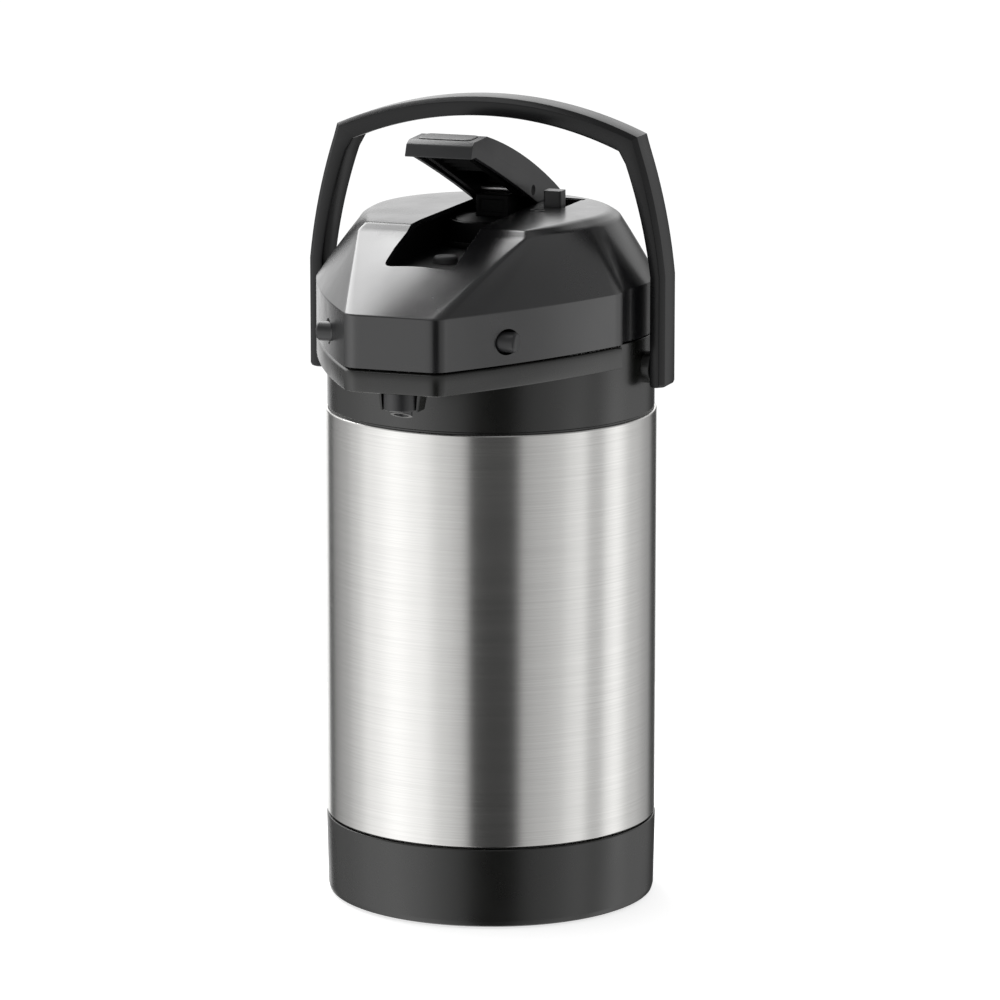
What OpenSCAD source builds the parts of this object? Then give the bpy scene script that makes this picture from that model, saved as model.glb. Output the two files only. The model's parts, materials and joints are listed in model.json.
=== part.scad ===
// Pump pot (airpot): a steel vacuum jug with a lever pump head and a carrying handle.
// Millimetres. Origin: centre of the underside, +Z up, spout towards -Y.

/* [Body] */
// Outer radius of the steel jacket
jacket_r = 82.5; // [82:0.1:82.6]
// Height of the plastic base cup
base_h = 40.7; // [36:0.1:46]
// Height of the steel jacket's top edge
jacket_top = 247.8; // [244:0.1:247.8]
// Inner radius of the vacuum bottle
liner_r = 72; // [66:0.5:73]

/* [Collar] */
// Outer radius of the collar
collar_r = 81.4; // [80.8:0.1:81.6]
// Height where the collar ends and the head begins
seam_z = 287; // [286.6:0.1:287.2]

/* [Head] */
// Radius of the head's round back
head_r = 82; // [81.6:0.1:82.2]
// Reach of the beak's flat front from the axis
beak_reach = 137; // [135:0.5:140]
// Height of the fold above the belt
fold_z = 313.5; // [312:0.5:315]
// Height of the head's flat top
head_top = 347.2; // [346.8:0.1:347.6]
// Wall of the moulded covers
wall = 2.5; // [2:0.1:2.8]

/* [Lever] */
// Half the width of the lever
lever_hw = 17.1; // [16:0.1:17.3]
// How far the lever turns when it is pressed
lever_turn = 21.5; // [5:0.5:21.5]

/* [Handle] */
// Half the distance between the legs' outer faces
handle_hw = 93.5; // [93:0.5:95]
// Width of the handle's strap, front to back
strap_w = 20; // [16:1:22]
// Top of the handle
handle_top = 403; // [402:0.5:406]

/* [Hidden] */
$fn = 72;
e = 0.05;                          // a running or drawn fit, per side
gap = 0.4;                         // space between mouldings
neck_r = 38.5;                     // the bottle's mouth
pipe_r = 4.5;
pipe_z = 284.6;
plate_z = 290;                     // underside of the pump base
plate_t = 3;
nozzle_y = -125;
bend_r = 8;                        // the outlet pipe's bends
hinge_y = 57;                      // lever hinge
hinge_z = 342;
lid_hinge_y = 74.6;                // hinge of the whole head
link_y = 14.4;                     // cross pin between lever and pusher
link_z = 354.4;
disc_r = 21;                       // plunger cap
disc_top = 342;
tray_x = 18;                       // lever tray, inside
tray_t = 1.6;
tray_floor = 329;
tray_front = -95;
tray_back = 64;
pivot_z = 272;                     // handle pivots
button_y = -103;
button_z = 298.8;
button_r = 4.9;
button_x = 51;                     // the buttons' outer ends
lock_x = 28.25;                    // centre of the lock's slot
lock_y = [10, 41];
screw_places = [[12, -122, 319.5], [-12, -122, 319.5], [42, 35, 345.5], [-42, 35, 345.5]];

// Points on the arc from p to q that bulges to the right of the way from p to q.
function bulged(p, q, rise, n) =
    let (d = q - p, c = norm(d), r = (c * c / 4 + rise * rise) / (2 * rise),
         half = asin(c / 2 / r), m = (p + q) / 2, out = [d[1], -d[0]] / c,
         centre = m - out * (r - rise), start = atan2(out[1], out[0]))
    [for (i = [0 : n]) let (a = start + half * (2 * i / n - 1)) centre + r * [cos(a), sin(a)]];

function reversed(pts) = [for (i = [len(pts) - 1 : -1 : 0]) pts[i]];
function flipped(pts) = [for (p = pts) [-p[0], p[1]]];
function mirrored(pts) = reversed(flipped(pts));

// Plan of the head: a flat beak, long curved cheeks and a round back.
function cheek(reach) = concat([[20.5, -reach]],
    bulged([26, -reach + 6.5], [80, -33], 4, 8));
function plan(reach, r) = concat(cheek(reach),
    [for (a = [-4 : 8 : 184]) r * [cos(a), sin(a)]], mirrored(cheek(reach)));

// Plan of the flat top, lying back from the beak.
function top_plan(front, half, r) = concat([[half, -front]],
    [for (a = [-20 : 10 : 200]) r * [cos(a), sin(a)]], [[-half, -front]]);

module flat(z, pts, h = 0.05) translate([0, 0, z]) linear_extrude(h) polygon(pts);
module inset_flat(z, pts, t, h) translate([0, 0, z])
    linear_extrude(h) offset(delta = -t) polygon(pts);

// Head solid from height z0 up, t smaller all round.
module head_solid(t, z0) {
    slope = 75 / (head_top - fold_z);
    hull() {
        inset_flat(z0, plan(beak_reach, head_r), t, fold_z - z0);
        inset_flat(head_top - 3.5 - t, top_plan(62 + 3.5 * slope + t * 0.5, 44, 64), t * 0.8, 0.05);
        inset_flat(head_top - t - 0.05, top_plan(65, 42, 58.8), t * 0.8, 0.05);
    }
}

module ring(r1, r0, z0, z1) translate([0, 0, z0]) difference() {
    cylinder(r = r1, h = z1 - z0);
    translate([0, 0, -1]) cylinder(r = r0, h = z1 - z0 + 2);
}
module rod_x(r, x0, x1) translate([x0, 0, 0]) rotate([0, 90, 0]) cylinder(r = r, h = x1 - x0);
module slab(lo, hi) translate(lo) cube(hi - lo);
module side_extrude(half, pts) translate([-half, 0, 0]) rotate([90, 0, 90])
    linear_extrude(2 * half) polygon(pts);
module both_sides() { children(); mirror([1, 0, 0]) children(); }

// Coil spring of square-cut wire section with closed rings, axis +Z from z = 0.
module coil(r, wire, length, turns, steps = 16) {
    sides = 6;
    rings = turns * steps;
    points = [for (i = [0 : rings]) for (s = [0 : sides - 1])
        let (a = 360 * i / steps, b = 360 * s / sides, q = r + wire * cos(b))
        [q * cos(a), q * sin(a), wire + (length - 2 * wire) * i / rings + wire * sin(b)]];
    faces = concat([[for (s = [0 : sides - 1]) s]],
        [for (i = [0 : rings - 1]) for (s = [0 : sides - 1])
            let (a = i * sides + s, b = i * sides + (s + 1) % sides)
            [a, a + sides, b + sides, b]],
        [[for (s = [sides - 1 : -1 : 0]) rings * sides + s]]);
    polyhedron(points, faces, convexity = 10);
}

// ---- base and bottle ----

module base_pad() color("#222222") cylinder(r = 74, h = 2);

module base_cup() color("#2b2c29") difference() {
    rotate_extrude() polygon([[0, 2], [74.3, 2], [74.3, 0.6], [79.8, 0.6], [81.6, 1.4],
        [82, 3], [jacket_r + 0.3, base_h], [80.2, base_h], [79.9, 5.5], [0, 5.5]]);
    for (a = [30, 150, 270]) rotate(a) translate([60, 0, 0]) {
        translate([0, 0, 1]) cylinder(r = 4.2, h = 3.2);
        cylinder(r = 2.1, h = 8);
    }
}

module base_screws() color("#9a9a9a") for (a = [30, 150, 270]) rotate(a)
    translate([60, 0, 0]) {
        translate([0, 0, 2.4]) cylinder(r = 3.8, h = 1.8);
        translate([0, 0, 4]) cylinder(r = 1.75, h = 8);
    }

module bottle_cushion() color("#3a3a3a") difference() {
    ring(70, 46, 5.6, 14);
    for (a = [30, 150, 270]) rotate(a) translate([60, 0, 0]) cylinder(r = 1.8, h = 30);
}

module outer_jacket() color("#c4c4c2") {
    rotate_extrude() polygon([[jacket_r, base_h + 0.5], [jacket_r, jacket_top],
        [jacket_r - 0.7, jacket_top], [jacket_r - 0.7, base_h + 1.2],
        [78.9, base_h + 1.2], [78.9, 9], [79.6, 9], [79.6, base_h + 0.5]]);
}

// A bottle's wall: r at the body, n at the neck, between heights z0 and z1.
module bottle(r, n, t, z0, shoulder, neck_z, z1) rotate_extrude() polygon(concat(
    [[0, z0], [r - 12, z0]], [for (a = [-60 : 30 : 0]) [r - 12 + 12 * cos(a), z0 + 12 + 12 * sin(a)]],
    [for (a = [0 : 15 : 60]) [r - 24 + 24 * cos(a), shoulder + 24 * sin(a)]],
    [[n, neck_z], [n, z1], [n - t, z1], [n - t, neck_z - t]],
    [for (a = [60 : -15 : 0]) [r - 24 + (24 - t) * cos(a), shoulder + (24 - t) * sin(a)]],
    [for (a = [0 : -30 : -60]) [r - 12 + (12 - t) * cos(a), z0 + 12 + (12 - t) * sin(a)]],
    [[r - 12, z0 + t], [0, z0 + t]]));

module bottle_outer() color("#a8a8a8") bottle(77, 42, 0.8, 14.1, 202, 241, 258.6);

module bottle_inner() color("#d0d0d0") {
    bottle(liner_r + 0.7, neck_r + 0.7, 0.7, 21, 196, 236, 259.4);
    ring(43, neck_r, 258.7, 259.4);
}

module neck_seal() color("#555555") ring(42.6, neck_r + 0.2, 259.5, 261.4);

module stopper_seal() color("#555555") ring(neck_r - 0.1, 36.1, 250, 254);

// ---- collar ----

module collar() color("#2c2d2a") difference() {
    union() {
        rotate_extrude() polygon([[collar_r, 248.6], [collar_r, seam_z], [78.4, seam_z],
            [78.4, 271], [44, 266], [39, 266], [39, 261.5], [44.5, 261.5], [44.5, 250],
            [47, 250], [47, 262.5], [78.2, 267.4], [78.2, 240], [81, 240], [81, 248.6]]);
        difference() {
            flat(276.2, plan(beak_reach, collar_r - 0.6), seam_z - 276.2);
            translate([0, 0, 250]) cylinder(r = 79, h = 60);
        }
        both_sides() {
            translate([0, 0, pivot_z]) rod_x(8, 79.5, 85.6);
            // catch for the latch, and ears for the lid's hinge
            slab([32.5, button_y, 283.6], [40, button_y + 5, seam_z]);
            slab([12, 70.5, 279], [18, 78.9, 286.6]);
        }
    }
    // room for the outlet pipe inside the beak
    difference() {
        intersection() {
            inset_flat(279.2, plan(beak_reach, collar_r - 0.6), 3, 9);
            slab([-90, -150, 279], [90, -40, 289]);
        }
        both_sides() slab([32.5, button_y, 283.6], [60, button_y + 5, 289.5]);
    }
    translate([0, nozzle_y, 270]) cylinder(r = 5.7, h = 20);
    both_sides() translate([0, 0, pivot_z]) rod_x(4 + e / 2, 79.6, 90);
    translate([0, lid_hinge_y, 282.8]) rod_x(2.02, -15.6, 18.5);
}

module spout_guard() color("#2c2d2a") difference() {
    hull() {
        slab([-11, nozzle_y - 9, 276.1], [11, nozzle_y + 10, 276.15]);
        slab([-9.5, nozzle_y - 8, 268], [9.5, nozzle_y + 9, 268.1]);
    }
    translate([0, nozzle_y, 260]) cylinder(r = 8.6, h = 20);
    slab([-8.6, nozzle_y - 12, 260], [8.6, nozzle_y, 280]);
}

module pivot_pin() color("#303030") translate([0, 0, pivot_z]) rod_x(4, 79.8, 91);
module pivot_pin_right() pivot_pin();
module pivot_pin_left() mirror([1, 0, 0]) pivot_pin();

// ---- head ----

module button_bore(r, x0 = 20) translate([0, button_y, button_z]) rod_x(r, x0, 60);

module head_cover() color("#33343a") difference() {
    union() {
        difference() {
            head_solid(0, seam_z + 0.9);
            head_solid(wall, seam_z - 1);
        }
        intersection() {
            union() {
                for (p = screw_places) translate([p[0], p[1], plate_z + plate_t + 0.1])
                    cylinder(r = 4, h = p[2] - plate_z - plate_t);
                // cups that the buttons sit in
                both_sides() button_bore(8, 36);
            }
            head_solid(0.2, plate_z + plate_t + 0.1);
        }
        // a raised hexagon beside the lock
        translate([26, -5, head_top - 0.4]) difference() {
            cylinder(r = 4.2, h = 0.8, $fn = 6);
            translate([0, 0, -1]) cylinder(r = 3.5, h = 3, $fn = 6);
        }
    }
    slab([-tray_x - tray_t - 0.1, tray_front - tray_t - 0.1, 320],
        [tray_x + tray_t + 0.1, tray_back + tray_t + 0.1, 360]);
    for (p = screw_places) translate([p[0], p[1], plate_z]) cylinder(r = 1.55, h = 18);
    both_sides() {
        button_bore(button_r + 0.2);
        button_bore(6.4, 37.6);
    }
    slab([lock_x - 4.85, lock_y[0], 330], [lock_x + 4.85, lock_y[1], 360]);
    slab([lock_x - 6.9, lock_y[0] - 2, head_top - 0.8], [lock_x + 6.9, lock_y[1] + 2, 360]);
}

module lever_well() color("#16171a") difference() {
    intersection() {
        union() {
            difference() {
                slab([-tray_x - tray_t, tray_front - tray_t, tray_floor - 2],
                    [tray_x + tray_t, tray_back + tray_t, 350]);
                slab([-tray_x, tray_front, tray_floor], [tray_x, tray_back, 351]);
            }
            translate([0, 0, 293.1]) cylinder(r = 24, h = tray_floor + 3 - 293.1);
            // stop pad under the tip of the lever, and blocks for the hinge pin
            translate([0, -64.4, tray_floor - 1]) cylinder(r = 6, h = 4.4);
            both_sides() slab([lever_hw + 0.4, hinge_y - 6, tray_floor], [tray_x + 1, hinge_y + 6, 346]);
        }
        head_solid(0.4, 293);
    }
    translate([0, 0, 290]) cylinder(r = disc_r + 1, h = 53.2);
    translate([0, hinge_y, hinge_z]) rod_x(2.5 + e / 2, -30, 30);
}

module pump_base() color("#26272a") difference() {
    union() {
        inset_flat(plate_z, plan(beak_reach, head_r), wall + gap, plate_t);
        // lug of the lid's hinge
        slab([-11.6, 71.4, 280], [11.6, 77.3, plate_z + 1]);
    }
    for (p = screw_places) translate([p[0], p[1], 280]) cylinder(r = 1.8, h = 20);
    translate([0, lid_hinge_y, 282.8]) rod_x(2.02, -20, 20);
    both_sides() slab([18.6, button_y - 5.6, 280], [30, button_y + 5.6, 300]);
    for (a = [45 : 90 : 315]) translate([0, 5, 280]) rotate(a) translate([4, 0, 0]) cylinder(r = 1, h = 20);
    translate([0, 5, 280]) cylinder(r = 1.6, h = 20);
}

module bellows() color("#3c3c3e") {
    folds = 6;
    step = 44 / folds;
    outer = [for (i = [0 : folds - 1]) each [[16.5, 293.2 + i * step], [20.5, 293.2 + (i + 0.5) * step]]];
    inner = [for (p = outer) p - [1.2, 0]];
    rotate_extrude() polygon(concat([[10.6, 293.2]], outer, [[16.5, 336.9], [10.6, 336.9], [10.6, 335.9],
        [15.3, 335.9]], [for (i = [len(inner) - 1 : -1 : 1]) inner[i]], [[15.3, 294.2], [10.6, 294.2]]));
}

module return_spring() color("#b0b0b0") translate([0, 0, 294.6]) coil(12, 0.8, 40.8, 6);

module stopper() color("#d8d8d4") difference() {
    rotate_extrude() polygon([[5.9, 246], [36, 246], [36, 249.8], [36, 289.9], [33, 289.9],
        [33, 249], [5.9, 249]]);
    translate([0, 0, pipe_z]) rotate([90, 0, 0]) cylinder(r = pipe_r + 0.2, h = 60);
    for (x = [-18, 18]) translate([x, 0, 240]) cylinder(r = 4, h = 20);
}

module air_valve() color("#6a4a3a") translate([0, 5, 0]) {
    translate([0, 0, 289]) cylinder(r = 6, h = 0.9);
    translate([0, 0, 289]) cylinder(r = 1.5, h = 5);
    translate([0, 0, 293.1]) cylinder(r = 2.3, h = 1);
}

module dip_tube() color("#d6d6d0") difference() {
    translate([0, 0, 24]) cylinder(r = 5.8, h = 238);
    translate([0, 0, 20]) cylinder(r = pipe_r + e, h = 250);
    for (a = [0, 90]) rotate(a) slab([-10, -1.5, 20], [10, 1.5, 29]);
}

// The pipe's centre line as solid rods and bends of radius r.
module pipe_solid(r) {
    translate([0, 0, 258]) cylinder(r = r, h = pipe_z - bend_r - 258);
    translate([0, -bend_r, pipe_z - bend_r]) rotate([90, 0, 90])
        rotate_extrude(angle = 90) translate([bend_r, 0]) circle(r = r);
    translate([0, -bend_r, pipe_z]) rotate([90, 0, 0])
        cylinder(r = r, h = -nozzle_y - 2 * bend_r);
    translate([0, nozzle_y + bend_r, pipe_z - bend_r]) rotate([90, 0, 90])
        rotate([0, 0, 90]) rotate_extrude(angle = 90) translate([bend_r, 0]) circle(r = r);
    translate([0, nozzle_y, 273.5]) cylinder(r = r, h = pipe_z - bend_r - 273.5);
}

module outlet_pipe() color("#c8c8c4") difference() {
    pipe_solid(pipe_r);
    pipe_solid(pipe_r - 1.2);
    translate([0, 0, 257]) cylinder(r = pipe_r - 1.2, h = 4);
    translate([0, nozzle_y, 272]) cylinder(r = pipe_r - 1.2, h = 4);
}

module nozzle() color("#1c1d1e") translate([0, nozzle_y, 0]) difference() {
    union() {
        translate([0, 0, 260]) cylinder(r = 5.5, h = 16.6);
        translate([0, 0, 268.6]) cylinder(r = 8, h = 7.4);
    }
    translate([0, 0, 255]) cylinder(r = 3.2, h = 22);
    translate([0, 0, 273.4]) cylinder(r = pipe_r + e, h = 5);
    // mouth cut back towards the front
    translate([0, 0, 264.2]) rotate([-22, 0, 0]) slab([-12, -12, -14], [12, 12, 0]);
}

module lid_hinge_pin() color("#9a9a9a") translate([0, lid_hinge_y, 282.8]) rod_x(2, -15.4, 17.8);

module lever_hinge_pin() color("#9a9a9a") translate([0, hinge_y, hinge_z]) rod_x(2.5, -19.5, 19.5);

module lock_rail() color("#16171a") difference() {
    slab([lock_x - 8, lock_y[0] - 1.6, 338], [lock_x + 8, lock_y[1] + 1.6, head_top - wall - 0.15]);
    slab([lock_x - 6.5, lock_y[0], 340], [lock_x + 6.5, lock_y[1], 350]);
}

module head_screws() color("#9a9a9a") for (p = screw_places) translate([p[0], p[1], 0]) {
    translate([0, 0, plate_z - 2]) cylinder(r = 3.2, h = 1.95);
    translate([0, 0, plate_z - 1]) cylinder(r = 1.5, h = 16);
}

module spring_block() color("#26272a")
    slab([-7, button_y - 5, plate_z + plate_t + e], [7, button_y + 5, 305]);

module button_guide() color("#26272a") difference() {
    slab([28.4, button_y - 8, plate_z + plate_t + e], [32.4, button_y + 8, 307]);
    button_bore(button_r + 0.1);
}
module button_guide_right() button_guide();
module button_guide_left() mirror([1, 0, 0]) button_guide();

module button_spring() color("#b0b0b0") translate([7.1, button_y, button_z])
    rotate([0, 90, 0]) coil(3.8, 0.45, 16.8, 6);
module button_spring_right() button_spring();
module button_spring_left() mirror([1, 0, 0]) button_spring();

// ---- moving pieces ----

module button() color("#3a3b40") translate([0, button_y, button_z]) {
    rod_x(button_r, 24.1, button_x - 0.8);
    rod_x(button_r - 0.6, button_x - 1, button_x);
    rod_x(6, 24, 26);
}
module button_right() button();
module button_left() mirror([1, 0, 0]) button();

module latch() color("#26272a") difference() {
    union() {
        slab([26.1, button_y - 5, 279.9], [28.1, button_y + 5, 306]);
        slab([28, button_y, 279.9], [36.5, button_y + 5, 283.2]);
    }
    button_bore(button_r + e);
}
module latch_right() latch();
module latch_left() mirror([1, 0, 0]) latch();

// Side view of the lever, raised: the top line from tip to tail.
function lever_top() = concat([[-72, 387], [-68.5, 388.7], [-52, 389.8]],
    bulged([-52, 389.8], [53, 350.6], -3.2, 6), [[61, 345.5]]);

// The lever's hollow, t smaller, open below.
function lever_hollow(t) = concat([[-72.8 + t, 370]], [for (p = lever_top()) p[1] > 386.5 ?
    [max(p[0], -69.8) + t, p[1] - 2.4 - t] : [p[0] - 0.6 - t, p[1] - 2.6 - t]],
    [[60 - t, 330], [-60, 330]]);

module lever() color("#3d3e42") difference() {
    union() {
        side_extrude(lever_hw, concat([[-75, 381.5]], lever_top(),
            [[61, 338], [52, 333.7], [-68, 381.3]]));
    }
    // hollow underside
    side_extrude(lever_hw - 2, lever_hollow(0));
    side_extrude(lever_hw - 2, [[-72.8, 381], [-69.8, 385.6], [-69, 385.6], [-66, 378], [-70, 378]]);
    translate([0, hinge_y, hinge_z]) rod_x(2.6, -30, 30);
    translate([0, link_y, link_z]) rod_x(2.7, -30, 30);
}

module lever_frame() color("#202124") difference() {
    intersection() {
        side_extrude(lever_hw - 2.1, lever_hollow(0.1));
        union() {
            both_sides() translate([9.6, 0, 0]) rotate([90, 0, 90]) linear_extrude(2.4)
                polygon([[-66, 382], [-66, 385.2], [-52, 386.2], [-10, 372.2], [20, 360.4], [50, 346.6],
                    [61, 340], [61, 338], [52, 335], [-60, 379.4]]);
            both_sides() slab([12, link_y - 4, 352], [14.9, link_y + 4, 359]);
            translate([0, hinge_y, hinge_z]) rod_x(4.6, -15, 15);
            for (i = [0 : 4]) slab([-15, -62 + 9 * i, 380.6 - 3 * i], [15, -60.8 + 9 * i, 385 - 3 * i]);
        }
    }
    translate([0, hinge_y, hinge_z]) rod_x(2.5 + e, -30, 30);
    translate([0, link_y, link_z]) rod_x(2.2 + e / 2, -30, 30);
}

module link_pin() color("#9a9a9a") translate([0, link_y, link_z]) rod_x(2.2, -16.8, 16.8);

module pusher() color("#1d1e20") difference() {
    slab([-8, 1.5, disc_top], [8, 20.5, 360]);
    for (y = [link_y - 2, link_y + 0.2]) translate([0, y, link_z]) rod_x(2.6, -10, 10);
    slab([-10, link_y - 2, link_z - 2.6], [10, link_y + 0.2, link_z + 2.6]);
}

module plunger_cap() color("#2e2f33") {
    rotate_extrude() polygon([[0, 337], [disc_r - 2, 337], [disc_r, 338], [disc_r, disc_top - 0.8],
        [disc_r - 0.8, disc_top], [0, disc_top]]);
    translate([0, 0, 329]) cylinder(r = 10, h = 8.5);
}

module lock_slider() color("#45464a") {
    slab([lock_x - 6.3, lock_y[0] + 0.3, 340.1], [lock_x + 6.3, lock_y[0] + 14.6, head_top - wall - 0.3]);
    slab([lock_x - 4.65, lock_y[0] + 0.5, 344], [lock_x + 4.65, lock_y[0] + 8.5, 355]);
}

// Front view of the handle: straight legs that lean in, and an arched grip.
function leg_outer(hw) = concat([[hw - 1.5, 263], [hw, 264.5]], bulged([hw, 318], [80.5, 379.5], 1.7, 6),
    [[78.5, 386]]);
function leg_inner(hw) = concat([[hw - 7.5, 263]], bulged([hw - 7.5, 318], [73, 373], 1.5, 6), [[69.5, 379]]);
function arch(half, r, top) = [for (i = [6.5 : -1 : -6.5])
    let (a = asin(half / r) * i / 7) [r * sin(a), top - r + r * cos(a)]];
module handle_profile() polygon(concat(
    leg_outer(handle_hw), arch(78.5, 195, handle_top), mirrored(leg_outer(handle_hw)),
    flipped(leg_inner(handle_hw)), reversed(arch(69.5, 176, handle_top - 9.4)), reversed(leg_inner(handle_hw))));

module handle() color("#37383b") difference() {
    union() {
        translate([0, strap_w / 2 - 1.6, 0]) rotate([90, 0, 0]) linear_extrude(strap_w - 3.2) handle_profile();
        translate([0, strap_w / 2, 0]) rotate([90, 0, 0]) linear_extrude(strap_w)
            offset(delta = -1.2) handle_profile();
    }
    both_sides() translate([0, 0, pivot_z]) rod_x(4 + e, 80, 91.2);
}

base_pad();
base_cup();
base_screws();
bottle_cushion();
outer_jacket();
bottle_outer();
bottle_inner();
neck_seal();
collar();
spout_guard();
pivot_pin_left();
pivot_pin_right();
head_cover();
lever_well();
pump_base();
bellows();
return_spring();
stopper();
stopper_seal();
air_valve();
dip_tube();
outlet_pipe();
nozzle();
lid_hinge_pin();
lever_hinge_pin();
lock_rail();
head_screws();
spring_block();
button_guide_left();
button_guide_right();
button_spring_left();
button_spring_right();
handle();
lever();
lever_frame();
link_pin();
pusher();
plunger_cap();
lock_slider();
button_left();
button_right();
latch_left();
latch_right();
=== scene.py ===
"""Looks of the pump pot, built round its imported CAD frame. Shapes are written in millimetres."""
import json
import math

import bmesh
import bpy
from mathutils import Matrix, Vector


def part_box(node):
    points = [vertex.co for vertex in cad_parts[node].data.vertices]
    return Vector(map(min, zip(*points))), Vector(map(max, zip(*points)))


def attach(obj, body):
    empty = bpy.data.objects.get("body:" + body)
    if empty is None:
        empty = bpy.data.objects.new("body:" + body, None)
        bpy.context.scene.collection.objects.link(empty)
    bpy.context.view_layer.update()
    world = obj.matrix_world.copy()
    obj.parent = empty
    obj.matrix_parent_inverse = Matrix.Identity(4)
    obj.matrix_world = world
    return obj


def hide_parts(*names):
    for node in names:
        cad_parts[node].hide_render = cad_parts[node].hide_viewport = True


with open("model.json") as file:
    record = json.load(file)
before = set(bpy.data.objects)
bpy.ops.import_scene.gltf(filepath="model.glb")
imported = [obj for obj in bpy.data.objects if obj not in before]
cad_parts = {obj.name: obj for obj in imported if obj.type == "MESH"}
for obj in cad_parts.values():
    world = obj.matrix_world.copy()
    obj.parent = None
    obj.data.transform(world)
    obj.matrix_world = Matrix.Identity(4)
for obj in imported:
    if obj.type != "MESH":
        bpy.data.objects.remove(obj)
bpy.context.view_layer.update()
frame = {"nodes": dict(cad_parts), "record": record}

MM = 0.001
FULL_TURN = 2 * math.pi
# Outlines for the lathe stop just short of the axis.
AXIS = 0.01
# Faces that meet at less than this many degrees shade as one.
SMOOTH = 38

# ---- camera: 2.8 m away, turned to the pot's right and looking slightly down ----
VIEW_TURN = math.radians(20)
VIEW_DIP = math.radians(11.417)
VIEW_DISTANCE = 2.784
VIEW_HEIGHT = 0.7615
LENS_MM = 204.7
FRAME_SHIFT = 0.009


def make_camera():
    data = bpy.data.cameras.new("camera")
    data.lens = LENS_MM
    data.sensor_width = 36
    data.shift_x = FRAME_SHIFT
    camera = bpy.data.objects.new("camera", data)
    across = VIEW_DISTANCE * math.sin(VIEW_TURN)
    away = VIEW_DISTANCE * math.cos(VIEW_TURN)
    camera.location = (across, -away, VIEW_HEIGHT)
    camera.rotation_euler = (math.radians(90) - VIEW_DIP, 0, VIEW_TURN)
    bpy.context.scene.collection.objects.link(camera)
    bpy.context.scene.camera = camera


make_camera()

# ---- places and sizes taken from the frame, in millimetres ----


def low(node):
    """A node's lowest corner."""
    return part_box(node)[0] / MM


def high(node):
    """A node's highest corner."""
    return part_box(node)[1] / MM


SEAM = high("collar").z
HEAD_FOOT = low("head_cover").z
REACH = -low("head_cover").y
HEAD_R = high("head_cover").y
HEAD_TOP = high("lever_well").z + 0.4
# The belt round the head ends at the fold, and the beak's band hangs under the seam.
FOLD = SEAM + 26.5
BAND_FOOT = SEAM - 10.8
JACKET_R = high("outer_jacket").x
JACKET_TOP = high("outer_jacket").z
BASE_TOP = high("base_cup").z
COLLAR_R = high("collar").y
WELL = (low("lever_well"), high("lever_well"))
LEVER = (low("lever"), high("lever"))
HINGE_Y = (low("lever_hinge_pin").y + high("lever_hinge_pin").y) / 2
HINGE_Z = (low("lever_hinge_pin").z + high("lever_hinge_pin").z) / 2
LINK_Y = (low("link_pin").y + high("link_pin").y) / 2
LINK_Z = (low("link_pin").z + high("link_pin").z) / 2
BUTTON_Y = (low("button_right").y + high("button_right").y) / 2
BUTTON_Z = (low("button_right").z + high("button_right").z) / 2
NOZZLE_Y = (low("nozzle").y + high("nozzle").y) / 2
PIVOT_Z = (low("pivot_pin_right").z + high("pivot_pin_right").z) / 2
LOCK = (low("lock_slider"), high("lock_slider"))
LOCK_X = (LOCK[0].x + LOCK[1].x) / 2
RAIL = (low("lock_rail"), high("lock_rail"))

# ---- materials ----

# Sockets of a Mix node that mixes colours.
MIX_FACTOR, MIX_A, MIX_B, MIX_COLOUR = 0, 6, 7, 2


class Nodes:
    """A short way to add and link shader nodes."""

    def __init__(self, name):
        self.material = bpy.data.materials.new(name)
        self.material.use_nodes = True
        self.tree = self.material.node_tree
        self.shader = self.tree.nodes["Principled BSDF"]

    def add(self, kind, **values):
        node = self.tree.nodes.new("ShaderNode" + kind)
        for key, value in values.items():
            setattr(node, key, value)
        return node

    def link(self, source, output, target, socket):
        self.tree.links.new(source.outputs[output], target.inputs[socket])

    def noise(self, scale, stretch=(1, 1, 1), detail=4.0, rough=0.55):
        place = self.add("TexCoord")
        sized = self.add("Mapping")
        sized.inputs["Scale"].default_value = stretch
        noise = self.add("TexNoise")
        noise.inputs["Scale"].default_value = scale
        noise.inputs["Detail"].default_value = detail
        noise.inputs["Roughness"].default_value = rough
        self.link(place, "Object", sized, "Vector")
        self.link(sized, "Vector", noise, "Vector")
        return noise

    def ramp(self, source, output, stops):
        ramp = self.add("ValToRGB")
        while len(ramp.color_ramp.elements) < len(stops):
            ramp.color_ramp.elements.new(0.5)
        for element, (position, colour) in zip(ramp.color_ramp.elements, stops):
            element.position = position
            element.color = (*colour, 1)
        self.link(source, output, ramp, "Fac")
        return ramp

    def ranged(self, source, output, to_low, to_high, from_low=0.3, from_high=0.7):
        spread = self.add("MapRange")
        spread.inputs["From Min"].default_value = from_low
        spread.inputs["From Max"].default_value = from_high
        spread.inputs["To Min"].default_value = to_low
        spread.inputs["To Max"].default_value = to_high
        self.link(source, output, spread, "Value")
        return spread

    def bump(self, source, output, height, strength):
        bump = self.add("Bump")
        bump.inputs["Strength"].default_value = strength
        bump.inputs["Distance"].default_value = height
        self.link(source, output, bump, "Height")
        return bump


def scaled(colour, factor):
    """A lighter or darker colour."""
    return tuple(min(1, c * factor) for c in colour)


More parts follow.
